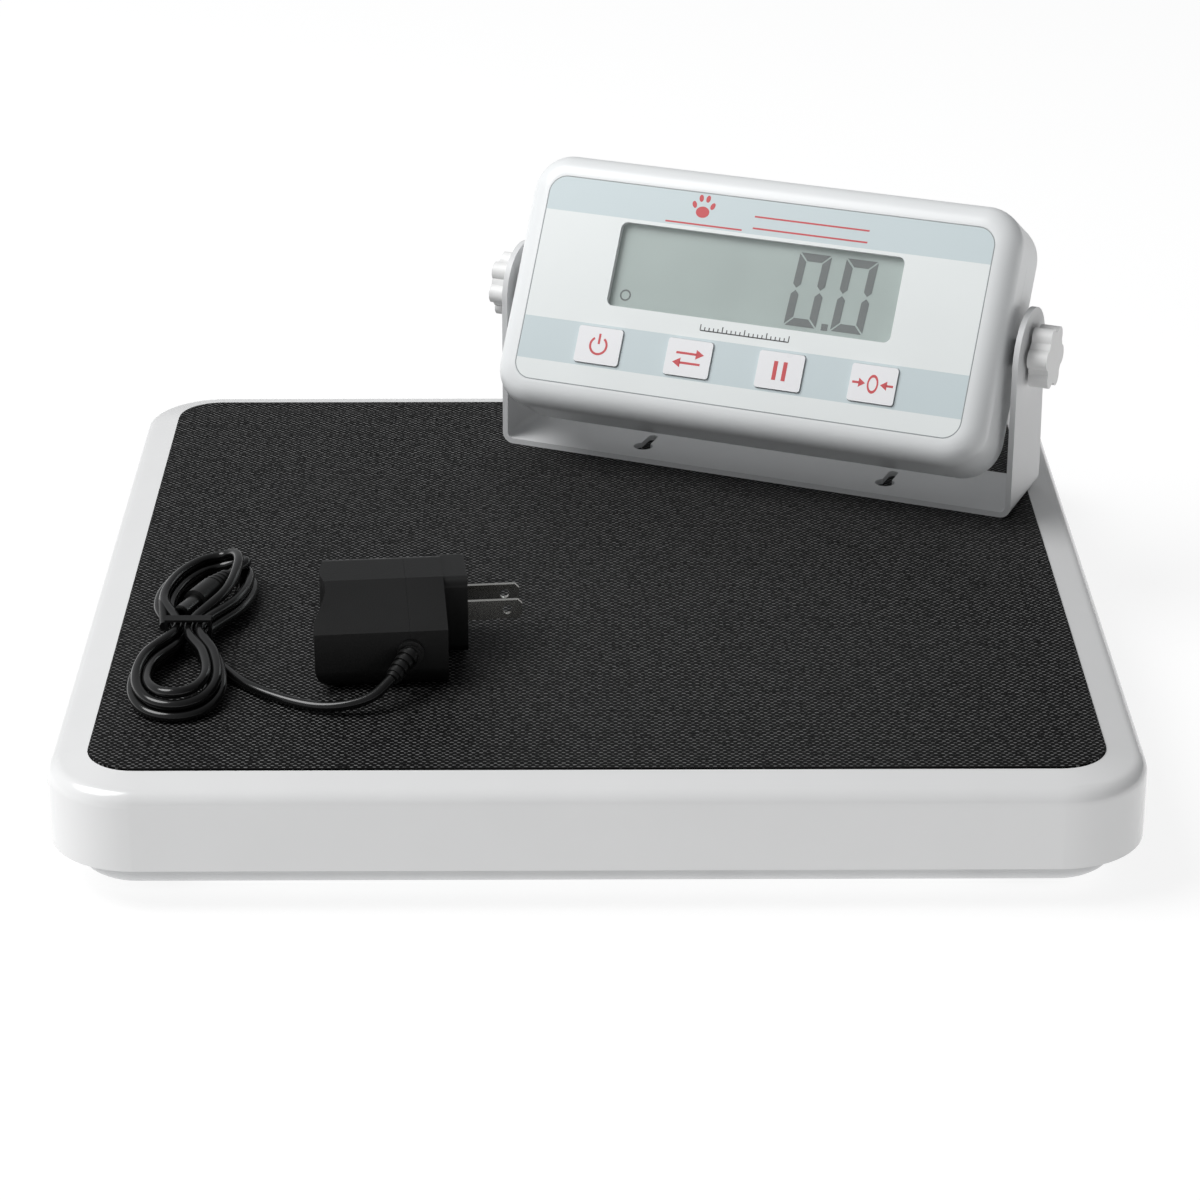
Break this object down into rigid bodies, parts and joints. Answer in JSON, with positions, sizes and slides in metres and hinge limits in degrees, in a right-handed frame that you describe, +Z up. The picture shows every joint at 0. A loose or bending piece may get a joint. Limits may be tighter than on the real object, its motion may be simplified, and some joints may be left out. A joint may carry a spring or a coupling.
{
  "type": "animal weighing scale",
  "caption": "Low square platform scale with black ribbed mat, tilting display unit in a steel bracket, and plug-in power adapter with coiled lead.",
  "frame": {"origin": "on the floor under the middle of the square platform", "axes": "+X to the right, +Y to the back, +Z up; the display faces the front"},
  "size_m": [0.336, 0.336, 0.1466],
  "materials": {
    "tray_paint": "satin powder coat",
    "foot_rubber": "matte",
    "zinc_steel": "zinc plated",
    "cell_alloy": "milled",
    "pad_rubber": "matte",
    "green_board": "solder mask",
    "board_parts": "moulded",
    "black_nylon": "moulded",
    "white_cover": "smooth moulded",
    "steel_plate": "rolled",
    "mat_vinyl": "embossed weave",
    "bracket_paint": "fine powder coat",
    "white_shell": "satin moulded",
    "label_film": "printed film",
    "window_clear": "clear",
    "display_glass": "reflective grey-green",
    "key_white": "satin",
    "brass": "knurled",
    "knob_white": "moulded",
    "adapter_black": "fine spark texture",
    "blade_nickel": "nickel plated",
    "coil_wire": "taped winding",
    "lead_vinyl": "glossy sheath",
    "tie_vinyl": "coated wire",
    "plug_metal": "nickel plated"
  },
  "bodies": {
    "base": {"base_tray": "tray_paint", "feet": "foot_rubber", "foot_screws": "zinc_steel", "load_cells": "cell_alloy", "cell_screws": "zinc_steel", "load_pads": "pad_rubber", "summing_board": "green_board", "summing_parts": "board_parts", "board_screws": "zinc_steel", "tray_gland": "black_nylon"},
    "deck": {"deck_cover": "white_cover", "deck_plate": "steel_plate", "deck_screws": "zinc_steel", "mat": "mat_vinyl"},
    "bracket": {"bracket": "bracket_paint"},
    "indicator": {"front_shell": "white_shell", "rear_shell": "white_shell", "shell_screws": "zinc_steel", "face_label": "label_film", "display_window": "window_clear", "display_panel": "display_glass", "circuit_board": "green_board", "circuit_parts": "board_parts", "circuit_screws": "zinc_steel", "key_switches": "black_nylon", "brass_inserts": "brass", "axle_washers": "foot_rubber", "dc_jack": "black_nylon", "indicator_gland": "black_nylon"},
    "power_key": {"power_key": "key_white"},
    "unit_key": {"unit_key": "key_white"},
    "hold_key": {"hold_key": "key_white"},
    "tare_key": {"tare_key": "key_white"},
    "left_stud": {"left_stud": "zinc_steel"},
    "left_knob": {"left_knob": "knob_white"},
    "right_stud": {"right_stud": "zinc_steel"},
    "right_knob": {"right_knob": "knob_white"},
    "adapter": {"adapter_case": "adapter_black", "adapter_face": "adapter_black", "adapter_blades": "blade_nickel", "adapter_board": "green_board", "adapter_coil": "coil_wire", "strain_relief": "lead_vinyl", "lead_run": "lead_vinyl", "lead_hank": "lead_vinyl", "lead_tie": "tie_vinyl", "plug_sleeve": "lead_vinyl", "barrel_plug": "plug_metal"}
  },
  "joints": [
    {"name": "deck_press", "type": "slide", "parent": "base", "child": "deck", "axis": [0, 0, 1], "range_m": [-0.0008, 0], "stiffness_N_per_m": 500000, "springref_m": 0.0003, "deforming": ["load_pads"]},
    {"name": "bracket_lift", "type": "slide", "parent": "deck", "child": "bracket", "axis": [0, 0, 1], "range_m": [0, 0.15]},
    {"name": "indicator_tilt", "type": "hinge", "parent": "bracket", "child": "indicator", "pos_m": [0.06351, 0.09315, 0.097], "axis": [0.9222, -0.3867, 0], "range_deg": [-60, 45]},
    {"name": "power_press", "type": "slide", "parent": "indicator", "child": "power_key", "axis": [0.3335, 0.7954, -0.506], "range_m": [0, 0.0006], "stiffness_N_per_m": 1500, "springref_m": -0.0004},
    {"name": "unit_press", "type": "slide", "parent": "indicator", "child": "unit_key", "axis": [0.3335, 0.7954, -0.506], "range_m": [0, 0.0006], "stiffness_N_per_m": 1500, "springref_m": -0.0004},
    {"name": "hold_press", "type": "slide", "parent": "indicator", "child": "hold_key", "axis": [0.3335, 0.7954, -0.506], "range_m": [0, 0.0006], "stiffness_N_per_m": 1500, "springref_m": -0.0004},
    {"name": "tare_press", "type": "slide", "parent": "indicator", "child": "tare_key", "axis": [0.3335, 0.7954, -0.506], "range_m": [0, 0.0006], "stiffness_N_per_m": 1500, "springref_m": -0.0004},
    {"name": "left_stud_travel", "type": "slide", "parent": "indicator", "child": "left_stud", "axis": [-0.9222, 0.3867, 0], "range_m": [0, 0.00101]},
    {"name": "left_knob_turn", "type": "hinge", "parent": "left_stud", "child": "left_knob", "pos_m": [-0.02595, 0.13066, 0.097], "axis": [-0.9222, 0.3867, 0], "range_deg": [0, 360]},
    {"name": "right_stud_travel", "type": "slide", "parent": "indicator", "child": "right_stud", "axis": [0.9222, -0.3867, 0], "range_m": [0, 0.00101]},
    {"name": "right_knob_turn", "type": "hinge", "parent": "right_stud", "child": "right_knob", "pos_m": [0.15296, 0.05564, 0.097], "axis": [0.9222, -0.3867, 0], "range_deg": [0, 360]},
    {"name": "adapter_lift", "type": "slide", "parent": "deck", "child": "adapter", "axis": [0, 0, 1], "range_m": [0, 0.1]}
  ],
  "couplings": [
    {"joint": "left_stud_travel", "follows": "left_knob_turn", "m_per_rad": 0.00015915},
    {"joint": "right_stud_travel", "follows": "right_knob_turn", "m_per_rad": 0.00015915}
  ]
}
